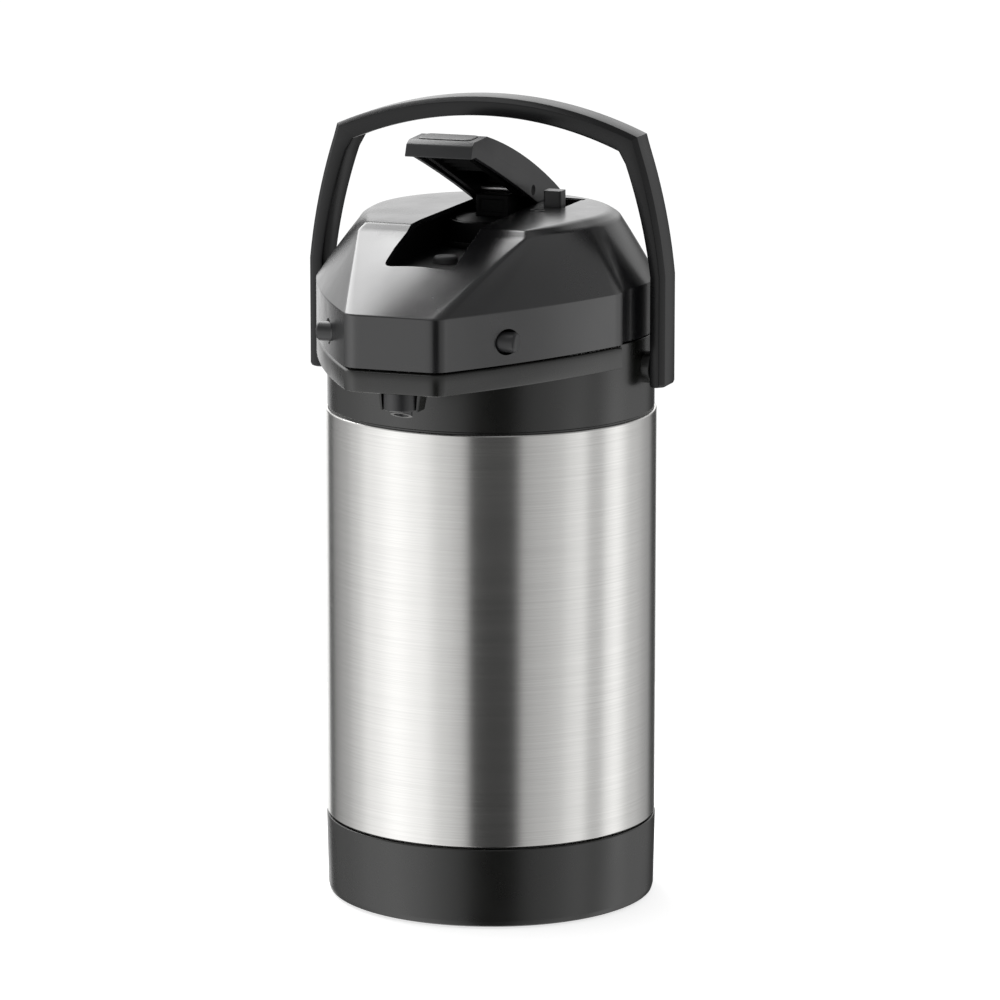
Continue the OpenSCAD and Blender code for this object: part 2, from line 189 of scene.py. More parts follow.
def plastic(name, colour, rough, grain, edge=1.7, specular=0.5):
    """Moulded plastic: faint cloudiness, fine grain, and edges rubbed a little paler."""
    m = Nodes(name)
    m.shader.inputs["Specular IOR Level"].default_value = specular
    clouds = m.noise(38, detail=5)
    specks = m.noise(2600, detail=2)
    tone = m.ramp(clouds, "Fac", [(0.32, scaled(colour, 0.84)), (0.68, scaled(colour, 1.16))])
    worn = m.add("NewGeometry")
    edges = m.ranged(worn, "Pointiness", 0, 0.6, 0.53, 0.62)
    mixed = m.add("Mix", data_type="RGBA")
    mixed.inputs[MIX_B].default_value = (*scaled(colour, edge), 1)
    m.link(edges, "Result", mixed, MIX_FACTOR)
    m.link(tone, "Color", mixed, MIX_A)
    m.link(mixed, MIX_COLOUR, m.shader, "Base Color")
    gloss = m.ranged(clouds, "Fac", rough - 0.035, rough + 0.035)
    m.link(gloss, "Result", m.shader, "Roughness")
    fine = m.bump(specks, "Fac", grain, 0.5)
    m.link(fine, "Normal", m.shader, "Normal")
    return m.material


def steel(name, colour, rough, anisotropy, lines):
    """Steel with fine lines round the pot's axis."""
    m = Nodes(name)
    m.shader.inputs["Metallic"].default_value = 1
    m.shader.inputs["Anisotropic"].default_value = anisotropy
    m.shader.inputs["Anisotropic Rotation"].default_value = 0.25
    around = m.add("Tangent", direction_type="RADIAL", axis="Z")
    m.link(around, "Tangent", m.shader, "Tangent")
    brush = m.noise(1, stretch=(14, 14, 2600), detail=3, rough=0.6)
    broad = m.noise(1, stretch=(5, 5, 210), detail=2)
    tone = m.ramp(brush, "Fac", [(0.3, scaled(colour, 0.93)), (0.7, scaled(colour, 1.05))])
    m.link(tone, "Color", m.shader, "Base Color")
    gloss = m.ranged(broad, "Fac", rough - 0.008, rough + 0.012)
    m.link(gloss, "Result", m.shader, "Roughness")
    relief = m.bump(brush, "Fac", lines, 0.35)
    m.link(relief, "Normal", m.shader, "Normal")
    return m.material


def rubber(name, colour, rough):
    """Dull and cloudy, with fine pits."""
    m = Nodes(name)
    m.shader.inputs["Specular IOR Level"].default_value = 0.35
    clouds = m.noise(60, detail=4)
    pits = m.noise(1500, detail=3)
    tone = m.ramp(clouds, "Fac", [(0.3, scaled(colour, 0.8)), (0.7, scaled(colour, 1.25))])
    m.link(tone, "Color", m.shader, "Base Color")
    dull = m.ranged(clouds, "Fac", rough - 0.05, rough + 0.05)
    m.link(dull, "Result", m.shader, "Roughness")
    relief = m.bump(pits, "Fac", 0.0001, 0.6)
    m.link(relief, "Normal", m.shader, "Normal")
    return m.material


LOOKS = {
    "jacket_steel": steel("jacket_steel", (0.66, 0.655, 0.64), 0.235, 0.85, 0.000008),
    "bottle_steel": steel("bottle_steel", (0.58, 0.58, 0.57), 0.36, 0.5, 0.00003),
    "fastener_steel": steel("fastener_steel", (0.5, 0.5, 0.5), 0.3, 0.3, 0.00002),
    "base_plastic": plastic("base_plastic", (0.0048, 0.005, 0.0041), 0.28, 0.00001, specular=0.68),
    "head_plastic": plastic("head_plastic", (0.0055, 0.0056, 0.0064), 0.25, 0.000004, specular=0.85),
    "lever_plastic": plastic("lever_plastic", (0.016, 0.0162, 0.0175), 0.38, 0.00002, specular=0.6),
    "handle_plastic": plastic("handle_plastic", (0.008, 0.0082, 0.0088), 0.3, 0.00001, specular=0.34),
    "inner_plastic": plastic("inner_plastic", (0.0022, 0.0022, 0.0025), 0.55, 0.00001, specular=0.12),
    "pale_plastic": plastic("pale_plastic", (0.72, 0.71, 0.66), 0.4, 0.00002, edge=1.05),
    "seal_rubber": rubber("seal_rubber", (0.035, 0.035, 0.036), 0.6),
    "pad_rubber": rubber("pad_rubber", (0.012, 0.012, 0.012), 0.7),
}

for part in frame["record"]["subparts"]:
    node = frame["nodes"][part["node"]]
    node.data.materials.clear()
    node.data.materials.append(LOOKS[part["material_slot"]])

# ---- mesh helpers, in millimetres ----


def make_mesh(name, points, faces, smooth_angle=SMOOTH):
    mesh = bpy.data.meshes.new(name)
    mesh.from_pydata([Vector(p) * MM for p in points], [], faces)
    shape = bmesh.new()
    shape.from_mesh(mesh)
    bmesh.ops.remove_doubles(shape, verts=shape.verts, dist=1e-6)
    bmesh.ops.recalc_face_normals(shape, faces=shape.faces)
    shape.to_mesh(mesh)
    shape.free()
    obj = bpy.data.objects.new(name, mesh)
    bpy.context.scene.collection.objects.link(obj)
    smooth(obj, smooth_angle)
    return obj


def smooth(obj, angle):
    """Shades the faces as one, except over edges sharper than angle."""
    obj.data.shade_smooth()
    obj.data.set_sharp_from_angle(angle=math.radians(angle))


def baked(obj):
    """Applies the object's modifiers."""
    bpy.context.view_layer.update()
    seen = obj.evaluated_get(bpy.context.evaluated_depsgraph_get())
    mesh = bpy.data.meshes.new_from_object(seen)
    old = obj.data
    obj.modifiers.clear()
    obj.data = mesh
    bpy.data.meshes.remove(old)
    return obj


def boolean(obj, other, operation="DIFFERENCE"):
    step = obj.modifiers.new("boolean", "BOOLEAN")
    step.operation = operation
    step.solver = "EXACT"
    step.object = other
    baked(obj)
    bpy.data.objects.remove(other)
    return obj


def softened(obj, width, angle=50, segments=3, smooth_angle=SMOOTH):
    """Rounds the edges that are sharper than angle."""
    step = obj.modifiers.new("bevel", "BEVEL")
    step.width = width * MM
    step.segments = segments
    step.limit_method = "ANGLE"
    step.angle_limit = math.radians(angle)
    step.miter_outer = "MITER_ARC"
    even = obj.modifiers.new("normals", "WEIGHTED_NORMAL")
    even.keep_sharp = True
    smooth(obj, smooth_angle)
    return baked(obj)


def skin(name, rings, closed=True, capped=True, smooth_angle=SMOOTH):
    """Quads between rings of the same length."""
    count = len(rings[0])
    points = [p for ring in rings for p in ring]
    faces = []
    for r in range(len(rings) - 1):
        for i in range(count if closed else count - 1):
            j = (i + 1) % count
            faces.append((r * count + i, r * count + j, (r + 1) * count + j, (r + 1) * count + i))
    if capped:
        faces.append(tuple(range(count)))
        faces.append(tuple((len(rings) - 1) * count + i for i in reversed(range(count))))
    return make_mesh(name, points, faces, smooth_angle)


def lathe(name, profile, centre=(0, 0, 0), axis="Z", steps=96, smooth_angle=SMOOTH):
    """Turns a closed outline of (radius, height) round an axis."""
    rings = []
    for s in range(steps):
        a = FULL_TURN * s / steps
        c, d = math.cos(a), math.sin(a)
        turned = {
            "Z": [(r * c, r * d, h) for r, h in profile],
            "X": [(h, r * c, r * d) for r, h in profile],
        }[axis]
        rings.append([tuple(Vector(p) + Vector(centre)) for p in turned])
    rings.append(rings[0])
    return skin(name, rings, capped=False, smooth_angle=smooth_angle)


def rounded(points, radii, steps=4, closed=True):
    """A polyline with its corners replaced by arcs. Points may be in a plane or in space."""
    points = [Vector(p) for p in points]
    radii = radii if isinstance(radii, (list, tuple)) else [radii] * len(points)
    result = []
    for i, (p, radius) in enumerate(zip(points, radii)):
        if radius == 0 or (not closed and i in (0, len(points) - 1)):
            result.append(tuple(p))
            continue
        before = points[i - 1] - p
        after = points[(i + 1) % len(points)] - p
        half = before.angle(after) / 2
        reach = min(radius / math.tan(half), before.length * 0.48, after.length * 0.48)
        start = p + before.normalized() * reach
        end = p + after.normalized() * reach
        for s in range(steps + 1):
            t = s / steps
            result.append(tuple(start * (1 - t) ** 2 + p * (2 * t * (1 - t)) + end * t ** 2))
    return result


def bulged(p, q, rise, count):
    """Points from p to q on an arc that bulges to the right of the way."""
    p, q = Vector(p), Vector(q)
    way = q - p
    radius = (way.length ** 2 / 4 + rise ** 2) / (2 * abs(rise))
    out = Vector((way.y, -way.x)).normalized() * math.copysign(1, rise)
    centre = (p + q) / 2 - out * (radius - abs(rise))
    half = math.asin(way.length / 2 / radius)
    turn = math.copysign(1, rise)
    points = []
    for i in range(count + 1):
        a = turn * half * (2 * i / count - 1)
        points.append(centre + radius * Vector((out.x * math.cos(a) - out.y * math.sin(a),
                                                out.x * math.sin(a) + out.y * math.cos(a))))
    return points


def flipped(obj, name):
    """A copy mirrored from the right side to the left."""
    mesh = obj.data.copy()
    shape = bmesh.new()
    shape.from_mesh(mesh)
    for v in shape.verts:
        v.co.x = -v.co.x
    bmesh.ops.reverse_faces(shape, faces=shape.faces)
    shape.to_mesh(mesh)
    shape.free()
    copy = bpy.data.objects.new(name, mesh)
    bpy.context.scene.collection.objects.link(copy)
    smooth(copy, SMOOTH)
    return copy


def side_prism(name, outline, half):
    """An outline of (y, z) made wide in x."""
    return skin(name, [[(x, y, z) for y, z in outline] for x in (-half, half)])


def box_cutter(lo, hi, radius=0.0):
    """An upright block with rounded vertical edges."""
    corners = [(lo[0], lo[1]), (hi[0], lo[1]), (hi[0], hi[1]), (lo[0], hi[1])]
    outline = rounded(corners, radius, 5) if radius else corners
    return skin("cutter", [[(x, y, z) for x, y, *_ in outline] for z in (lo[2], hi[2])])


def rod_cutter(radius, x0, x1, y, z, steps=48):
    """A round bar along x."""
    turns = [FULL_TURN * s / steps for s in range(steps)]
    ring = [(y + radius * math.cos(a), z + radius * math.sin(a)) for a in turns]
    return skin("cutter", [[(x, a, b) for a, b in ring] for x in (x0, x1)])


def dressed(obj, body, slot, *nodes):
    """Gives a piece its material, its body and the CAD nodes that it stands for."""
    obj.data.materials.clear()
    obj.data.materials.append(LOOKS[slot])
    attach(obj, body)
    if nodes:
        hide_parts(*nodes)
    return obj


# ---- base and jacket ----


def make_base():
    """Cup round the jacket's foot."""
    top = BASE_TOP
    profile = [(74.3, 2), (74.3, 0.7), (79.2, 0.6), (81.4, 1.6), (82, 4), (JACKET_R + 0.3, top),
               (80.3, top), (79.9, 5.6), (2, 5.6), (2, 2)]
    outline = rounded(profile, [0, 0.3, 0.8, 1.2, 1.6, 0.7, 0.5, 1, 0, 0], 4)
    return dressed(lathe("base_cup_skin", outline, steps=160), "pot", "base_plastic", "base_cup")


def make_jacket():
    """Thin sleeve with a rolled rim, stepped inwards where the base holds it."""
    foot = BASE_TOP + 0.5
    top = JACKET_TOP
    r = JACKET_R
    profile = [(79.6, 9), (79.6, foot), (r - 0.9, foot), (r - 0.05, foot + 0.9), (r - 0.05, top - 0.9),
               (r - 0.3, top - 0.3), (r - 1.4, top - 0.05), (r - 1.5, top - 0.8), (r - 0.75, top - 2.4),
               (r - 0.75, foot + 1.3), (78.9, foot + 0.7), (78.9, 9)]
    outline = rounded(profile, [0, 0.4, 0.6, 0.8, 0.5, 0.3, 0.5, 0.5, 1, 0.5, 0.3, 0], 4)
    jacket = lathe("outer_jacket_skin", outline, steps=192)
    return dressed(jacket, "pot", "jacket_steel", "outer_jacket")


# ---- plans of the head ----

# Belt: half of the flat front, the front corner, and where the cheek meets the round back.
CORNER_X = 18.4
CORNER_R = 9.5
CORNER_TURN = math.radians(58)
CHEEK_BULGE = 3.6
CHEEK_END = (80, -33)
# Levels above the fold: front edge, half width there, and radius of the round back.
SHOULDER = (-69.8, 44, 64)
TOP = (-64, 42, 58.8)
CROWN = (-50, 34, 46)
UPPER_CORNER_R = 2.2
UPPER_CORNER_TURN = math.radians(62)
UPPER_CHEEK_END = -22.6
# Every plan has these counts of points, so that the levels can be joined.
FRONT_STEPS = 8
CORNER_STEPS = 7
CHEEK_STEPS = 16
# How far the slopes bulge, and how much more the front one does.
SLOPE_RISE = 0.6
CROWNING = 3.2
FRONT_SLOPE_Y = -120
# The lever's slot in the cover.
SLOT_HALF = 18
SLOT_FRONT = WELL[0].y - 6.2
SLOT_BACK = WELL[1].y - 1.4
# Thickness of the cover, and the radii of the buttons' holes and of the dishes round them.
COVER_WALL = 2.5
BUTTON_HOLE_R = 5.2
BUTTON_DISH_R = 6.3


def mirrored_outline(half):
    """Closes a right half outline, front to back, with its mirror image."""
    left = [(-x, y) for x, y in half[-2:0:-1]]
    return [tuple(p) for p in half] + left


def round_back(r, start, end=90, count=26):
    """Points on the round back, in degrees from just past start to the middle."""
    return [(r * math.cos(math.radians(a)), r * math.sin(math.radians(a)))
            for a in (start + (end - start) * i / count for i in range(1, count + 1))]


def straight(p, q, count):
    """Points from p towards q, without q itself."""
    p, q = Vector(p), Vector(q)
    return [tuple(p + (q - p) * i / count) for i in range(count)]


def corner_arc(start, radius, turn):
    """Points of a front corner that turns away from the flat front at start."""
    angles = [turn * i / CORNER_STEPS for i in range(CORNER_STEPS + 1)]
    return [(start[0] + radius * math.sin(a), start[1] + radius * (1 - math.cos(a))) for a in angles]


def belt_plan(r=HEAD_R, reach=REACH, inward=0.0):
    """The head's plan at the belt: flat front, cut corner, curved cheek and round back."""
    front = straight((0, -reach), (CORNER_X, -reach), FRONT_STEPS)
    corner = corner_arc((CORNER_X, -reach), CORNER_R, CORNER_TURN)
    cheek = [tuple(p) for p in bulged(corner[-1], CHEEK_END, CHEEK_BULGE, CHEEK_STEPS)]
    back = round_back(r, math.degrees(math.atan2(CHEEK_END[1], CHEEK_END[0])))
    points = mirrored_outline(front + corner + cheek[1:-1] + [CHEEK_END] + back)
    return inset(points, inward) if inward else points


def upper_plan(level, t=0.0):
    """The plan at a higher level, t further in, with points that answer to belt_plan."""
    front, half_front, r = level[0] + t, level[1] - t, level[2] - t
    start = math.degrees(math.asin(UPPER_CHEEK_END / SHOULDER[2]))
    end = (r * math.cos(math.radians(start)), r * math.sin(math.radians(start)))
    corner_x = half_front - UPPER_CORNER_R
    flat = straight((0, front), (corner_x, front), FRONT_STEPS)
    corner = corner_arc((corner_x, front), UPPER_CORNER_R, UPPER_CORNER_TURN)
    cheek = [tuple(p) for p in bulged(corner[-1], end, 0.8, CHEEK_STEPS)]
    return mirrored_outline(flat + corner + cheek[1:-1] + [end] + round_back(r, start))


def inset(points, distance):
    """The outline moved inwards along its normals."""
    count = len(points)
    moved = []
    for i in range(count):
        way = Vector(points[(i + 1) % count][:2]) - Vector(points[i - 1][:2])
        inwards = Vector((-way.y, way.x)).normalized()
        moved.append(tuple(Vector(points[i][:2]) + inwards * distance))
    return moved


def head_shell(name, t, foot):
    """Belt, slope, shoulder and top in one skin, t inside the outer face."""
    columns = []
    levels = [belt_plan(inward=t), upper_plan(SHOULDER, t), upper_plan(TOP, t), upper_plan(CROWN)]
    for a, b, c, d in zip(*levels):
        fold = Vector((*a, FOLD - t * 0.3))
        edge = Vector((*b, HEAD_TOP - 3.6 - t))
        across = abs(b[0]) / SHOULDER[1]
        rise = SLOPE_RISE + (CROWNING * (1 - across ** 2) if a[1] < FRONT_SLOPE_Y else 0)
        slope = [fold + (edge - fold) * u + Vector((0, 0, 4 * rise * u * (1 - u)))
                 for u in (0.25, 0.5, 0.75)]
        rim = (*c, HEAD_TOP - 0.5 - t)
        path = [(*a, foot), (*a, foot + 8), fold, *slope, edge, rim, (*d, HEAD_TOP - t)]
        columns.append(rounded(path, [0, 0, 1.2, 0, 0, 0, 6, 8, 0], 5, False))
    rings = [[column[i] for column in columns] for i in range(len(columns[0]))]
    return skin(name, rings, smooth_angle=34)


# ---- head ----


def make_head():
    """The cover, open below, with the lever's slot, the button holes and the lock's slot."""
    head = head_shell("head_cover_skin", 0, HEAD_FOOT)
    boolean(head, head_shell("cutter", COVER_WALL, HEAD_FOOT - 2))
    boolean(head, box_cutter((-SLOT_HALF, SLOT_FRONT, 320), (SLOT_HALF, SLOT_BACK, 360), 5.5))
    for side in (-1, 1):
        boolean(head, rod_cutter(BUTTON_DISH_R, side * 38.4, side * 60, BUTTON_Y, BUTTON_Z))
        boolean(head, rod_cutter(BUTTON_HOLE_R, side * 20, side * 60, BUTTON_Y, BUTTON_Z))
    # A shallow recess round the lock's rail, and the slot that its tab slides in.
    front, back = RAIL[0].y, RAIL[1].y
    recess = box_cutter((LOCK_X - 6.9, front - 0.4, HEAD_TOP - 0.7), (LOCK_X + 6.9, back + 0.4, 360), 2)
    boolean(head, recess)
    slot = box_cutter((LOCK_X - 4.85, front + 1.2, 330), (LOCK_X + 4.85, back - 1, 360), 0.8)
    boolean(head, slot)
    softened(head, 0.45, angle=52, segments=2)
    return dressed(head, "pot", "head_plastic", "head_cover")


def make_button_cups():
    """Round dishes in the cheeks, which the buttons stand in."""
    r = BUTTON_HOLE_R
    profile = [(r, 37.2), (7, 37.2), (7, 42), (6.25, 42), (6.25, 38.4), (r, 38.4)]
    right = lathe("button_cup_right", rounded(profile, 0.25, 2), (0, BUTTON_Y, BUTTON_Z), "X", 48)
    for obj in (right, flipped(right, "button_cup_left")):
        dressed(obj, "pot", "head_plastic")


def make_hexagon():
    """Raised outline on the head's top, beside the lock."""
    centre = Vector((26, -5))
    rings = []
    for r, z in ((4.2, -0.4), (4.2, 0.3), (4.0, 0.42), (3.7, 0.42), (3.5, 0.3), (3.5, -0.4)):
        turns = [FULL_TURN * k / 6 for k in range(6)]
        corners = [centre + r * Vector((math.cos(a), math.sin(a))) for a in turns]
        rings.append([(c.x, c.y, HEAD_TOP + z) for c in corners])
    rings.append(rings[0])
    return dressed(skin("hexagon_mark", rings, capped=False), "pot", "head_plastic")


def make_well():
    """Tray under the lever, open to the pump's tube, with the lever's stop pad."""
    lo, hi = WELL
    tube_r = 22.4
    tray = box_cutter((lo.x, lo.y - 8, 327), (hi.x, hi.y, 360), 5)
    tray.name = "lever_well_skin"
    boolean(tray, head_shell("limit", COVER_WALL + 0.05, 290), "INTERSECT")
    boolean(tray, box_cutter((lo.x + 1.6, lo.y - 6.4, 329), (hi.x - 1.6, hi.y - 1.6, 370), 4))
    hole = [(AXIS, 300), (tube_r, 300), (tube_r, 340), (AXIS, 340)]
    boolean(tray, lathe("cutter", hole, steps=72))
    for side in (-1, 1):
        near, far = sorted((side * 17.5, side * 19))
        block = box_cutter((near, HINGE_Y - 6, 328), (far, HINGE_Y + 6, 344.4), 0.6)
        boolean(tray, block, "UNION")
    boolean(tray, head_shell("limit", COVER_WALL + 0.12, 290), "INTERSECT")
    softened(tray, 0.4, angle=50, segments=2)
    dressed(tray, "pot", "inner_plastic", "lever_well")
    wall = [(tube_r, 293.4), (24, 293.4), (24, 330.8), (23.4, 332), (tube_r, 332)]
    tube = lathe("pump_tube", rounded(wall, [0, 0, 0.6, 0.5, 0.3], 3))
    dressed(tube, "pot", "inner_plastic")
    dome = [(AXIS, 328.5), (6.4, 328.5), (6, 331.2), (5.2, 332.3), (AXIS, 332.3)]
    pad = lathe("stop_pad", rounded(dome, [0, 0, 1, 1.6, 0], 4), (0, -64.4, 0), steps=48)
    dressed(pad, "pot", "seal_rubber")


# ---- collar, guard and nozzle ----


def make_collar():
    """Ring on the jacket, the hollow band under the beak, and the handle's two bosses."""
    profile = [(81, 240), (81, 248.5), (COLLAR_R, 248.9), (COLLAR_R, SEAM), (78.4, SEAM), (78.4, 271),
               (44, 266), (39, 266), (39, 261.5), (44.5, 261.5), (44.5, 250), (47, 250), (47, 262.5),
               (78.2, 267.4), (78.2, 240)]
    outline = rounded(profile, [0, 0, 0.9, 0.6, 0.4, 2, 0, 0, 0, 0, 0, 0, 0, 2, 0], 3)
    collar = lathe("collar_skin", outline, steps=160)
    dressed(collar, "pot", "base_plastic", "collar")
    plan = belt_plan(COLLAR_R - 0.6, REACH)
    levels = [(1.0, BAND_FOOT), (0.3, BAND_FOOT + 0.3), (0, BAND_FOOT + 1), (0, SEAM - 1.4),
              (0.3, SEAM - 0.8), (1.2, SEAM)]
    rings = [[(x, y, z) for x, y in (inset(plan, t) if t else plan)] for t, z in levels]
    band = skin("beak_band", rings)
    inner = inset(plan, 3)
    hollow = [[(x, y, z) for x, y in inner] for z in (BAND_FOOT + 3, SEAM + 3)]
    boolean(band, skin("cutter", hollow))
    body = [(AXIS, 260), (79, 260), (79, 300), (AXIS, 300)]
    boolean(band, lathe("cutter", body, steps=96))
    spout = [(AXIS, 260), (5.7, 260), (5.7, 300), (AXIS, 300)]
    boolean(band, lathe("cutter", spout, (0, NOZZLE_Y, 0), steps=48))
    dressed(band, "pot", "base_plastic")
    ring = rounded([(4.1, 79.5), (8, 79.5), (8, 85.5), (4.1, 85.5)], [0, 0, 0.8, 0.3], 3)
    boss = lathe("pivot_boss_right", ring, (0, 0, PIVOT_Z), "X", 64)
    for obj in (boss, flipped(boss, "pivot_boss_left")):
        dressed(obj, "pot", "base_plastic")


def make_guard():
    """Tapered lip round the nozzle, open to the front."""
    foot = low("spout_guard").z - 1.2
    rings = []
    for z, half in ((BAND_FOOT + 0.1, 11), (foot + 0.3, 9.6), (foot, 9.5)):
        corners = [(-half, -3), (half, -3), (half, half - 1), (-half, half - 1)]
        rings.append([(x, NOZZLE_Y + y, z) for x, y in rounded(corners, [0.3, 0.3, 3.5, 3.5], 5)])
    guard = skin("spout_guard_skin", rings)
    hole = [(AXIS, 250), (8.6, 250), (8.6, 290), (AXIS, 290)]
    boolean(guard, lathe("cutter", hole, (0, NOZZLE_Y, 0), steps=64))
    front = []
    for z, half in ((BAND_FOOT + 1, 9.4), (foot - 1, 8.5)):
        corners = [(-half, -14), (half, -14), (half, 0.5), (-half, 0.5)]
        front.append([(x, NOZZLE_Y + y, z) for x, y in corners])
    boolean(guard, skin("cutter", front))
    softened(guard, 0.35, angle=45, segments=2)
    return dressed(guard, "pot", "base_plastic", "spout_guard")


def make_nozzle():
    """Stepped tube with a mouth cut on a slant, so that it faces forward and down."""
    profile = [(3.6, 276), (8.5, 276), (8.5, 267.6), (7.9, 267), (5.3, 266.8), (5.2, 258), (3.6, 258)]
    outline = rounded(profile, [0, 0.4, 0.9, 0.5, 0.8, 0, 0], 3)
    nozzle = lathe("nozzle_skin", outline, (0, NOZZLE_Y, 0), steps=64)
    reach = 12
    mouth = 264.2
    drop = reach * math.tan(math.radians(22))
    front, back = NOZZLE_Y - reach, NOZZLE_Y + reach
    side = [(front, 240), (back, 240), (back, mouth - drop), (front, mouth + drop)]
    boolean(nozzle, side_prism("cutter", side, reach))
    softened(nozzle, 0.3, angle=60, segments=2)
    return dressed(nozzle, "pot", "lever_plastic", "nozzle")


# ---- buttons and lock ----


def make_buttons():
    """Round caps, each with a flange inside the head."""
    end = high("button_right").x
    profile = [(AXIS, 24.1), (6, 24.1), (6, 26), (4.9, 26), (4.9, end - 1), (4.1, end), (AXIS, end)]
    outline = rounded(profile, [0, 0.3, 0.3, 0, 0.9, 0.8, 0], 4)
    right = lathe("button_right_skin", outline, (0, BUTTON_Y, BUTTON_Z), "X", 48)
    left = flipped(right, "button_left_skin")
    dressed(right, "button_right", "lever_plastic", "button_right")
    dressed(left, "button_left", "lever_plastic", "button_left")


def make_lock():
    """Foot that slides under the cover, and the tab on it."""
    y = LOCK[0].y
    foot = box_cutter((LOCK[0].x, y, LOCK[0].z), (LOCK[1].x, LOCK[1].y, HEAD_TOP - 3.4), 0.8)
    foot.name = "lock_slider_skin"
    tab = box_cutter((LOCK_X - 4.65, y + 0.2, 343), (LOCK_X + 4.65, y + 8.2, LOCK[1].z), 1.3)
    boolean(foot, tab, "UNION")
    softened(foot, 0.6, angle=45, segments=3)
    return dressed(foot, "lock", "lever_plastic", "lock_slider")


# ---- lever ----


def lever_back():
    """The long curve of the raised lever's back, (y, z), from the tip to the tail."""
    return bulged((-52, 389.6), (53, 350.6), -3.2, 14)


def lever_outline():
    """Side view of the raised lever, (y, z), from the tip over the top to the tail."""
    front = [(-75, 381.2), (-72.6, 387.2), (-69, 389)]
    tail = [(61, 345.5), (61, 338)]
    foot = bulged((52, 333.7), (-68, 381.1), 1.5, 6)
    return front + [tuple(p) for p in lever_back()] + tail + [tuple(p) for p in foot]


def make_lever():
    """A shell, open below, with holes for the cross pin and the hinge pin."""
    radii = [0.5, 1.6, 1.8] + [0] * 15 + [3, 2, 1] + [0] * 6
    half = LEVER[1].x
    lever = side_prism("lever_skin", rounded(lever_outline(), radii, 4), half)
    softened(lever, 1.4, angle=60, segments=4)
    inner = [(-72.4, 372), (-69.9, 385.4), (-67, 386.7)]
    inner += [(p.x - 0.5, p.y - 2.5) for p in lever_back()]
    inner += [(59.4, 343), (59.4, 326), (-60, 330)]
    boolean(lever, side_prism("cutter", inner, half - 2))
    boolean(lever, rod_cutter(2.7, -30, 30, LINK_Y, LINK_Z))
    boolean(lever, rod_cutter(2.6, -30, 30, HINGE_Y, HINGE_Z))
    smooth(lever, 30)
    return dressed(lever, "lever", "lever_plastic", "lever")


def make_thumb_pad():
    """The slightly raised rest on the lever's flat front."""
    half, front, back = 13.5, -67, -53
    rings = []
    for t, rise in ((0, -0.1), (0, 0.25), (0.5, 0.45), (1.2, 0.5)):
        side = half - t
        corners = [(-side, front + t), (side, front + t), (side, back - t), (-side, back - t)]
        outline = rounded(corners, 3, 4)
        rings.append([(x, y, 389.2 + (y - front) * 0.035 + rise) for x, y in outline])
    return dressed(skin("thumb_pad", rings), "lever", "lever_plastic")


# ---- plunger ----


def make_plunger():
    """Disc on the bellows, with a groove near its rim."""
    z = low("plunger_cap").z + 8
    r = high("plunger_cap").x
    profile = [(AXIS, z + 5), (r - 3.4, z + 5), (r - 2.6, z + 4.3), (r - 1.4, z + 4.3),
               (r - 0.8, z + 5), (r - 0.15, z + 4.6), (r, z + 1), (r + 0.2, z - 7),
               (r - 0.4, z - 7), (r - 0.6, z), (10, z), (10, z - 8), (AXIS, z - 8)]
    outline = rounded(profile, [0, 0.5, 0.3, 0.3, 0.3, 0.4, 1, 0.2, 0.2, 0.5, 0, 0.6, 0], 3)
    cap = lathe("plunger_cap_skin", outline, steps=96)
    dressed(cap, "plunger", "inner_plastic", "plunger_cap")


def make_pusher():
    """Block under the lever with an open trough for the cross pin."""
    top = high("pusher").z
    foot, front, back = low("pusher").z, low("pusher").y, high("pusher").y
    half = 8.6
    near, far = LINK_Y - 4.2, LINK_Y + 3.2
    trough = [(near, top - 7), (near, top - 8.4), (far, top - 8.4), (far, top - 0.6)]
    outline = [(front, foot), (front, top - 7)] + trough + [(back, top - 0.6), (back, foot)]
    pusher = side_prism("pusher_skin", rounded(outline, [0, 0.8, 0.8, 2, 2, 0.8, 0.8, 0], 4), half)
    boolean(pusher, box_cutter((-6.4, front - 2, foot + 2.4), (6.4, front + 0.7, top - 9.4)))
    softened(pusher, 0.35, angle=50, segments=2)
    return dressed(pusher, "plunger", "inner_plastic", "pusher")


def make_link_shade_caps():
    """Caps with a dished face on the cross pin's ends. Their dark plastic is painted shade: they fill
    the pin's hollow ends, which hold only shade.
    """
    end = high("link_pin").x
    profile = [(AXIS, end - 1), (2.65, end - 1), (2.65, end + 0.4), (2.3, end + 0.45),
               (1.7, end + 0.15), (AXIS, end + 0.15)]
    right = lathe("link_shade_cap_right", profile, (0, LINK_Y, LINK_Z), "X", 40)
    for obj in (right, flipped(right, "link_shade_cap_left")):
        # The dark inner plastic on these caps is painted shade for the hollow ends of the pin.
        dressed(obj, "lever", "inner_plastic")


# ---- handle ----


def crown_arc(half, radius, level, count=22):
    """The arch from its corner at half to the middle, whose top is at level."""
    start = math.asin(half / radius)
    angles = [start * (1 - i / count) for i in range(count + 1)]
    return [(radius * math.sin(a), level - radius + radius * math.cos(a)) for a in angles]


def handle_sides():
    """Matching outer and inner points of the handle's right half, from foot to crown, as (x, z)."""
    hw = high("handle").x
    top = high("handle").z
    foot = low("handle").z
    outer = [(hw - 1.6, foot), (hw - 0.5, foot + 0.5), (hw, foot + 1.8), (hw, 290)]
    outer += [tuple(p) for p in bulged((hw, 318), (80.5, 379.5), 1.7, 10)]
    outer += crown_arc(78.5, 195, top)
    inner = [(hw - 6.2, foot), (hw - 7.1, foot + 0.5), (hw - 7.5, foot + 1.8), (hw - 7.5, 290)]
    inner += [tuple(p) for p in bulged((hw - 7.5, 318), (73, 373), 1.5, 10)]
    inner += crown_arc(69.5, 176, top - 9.4)
    return outer, inner


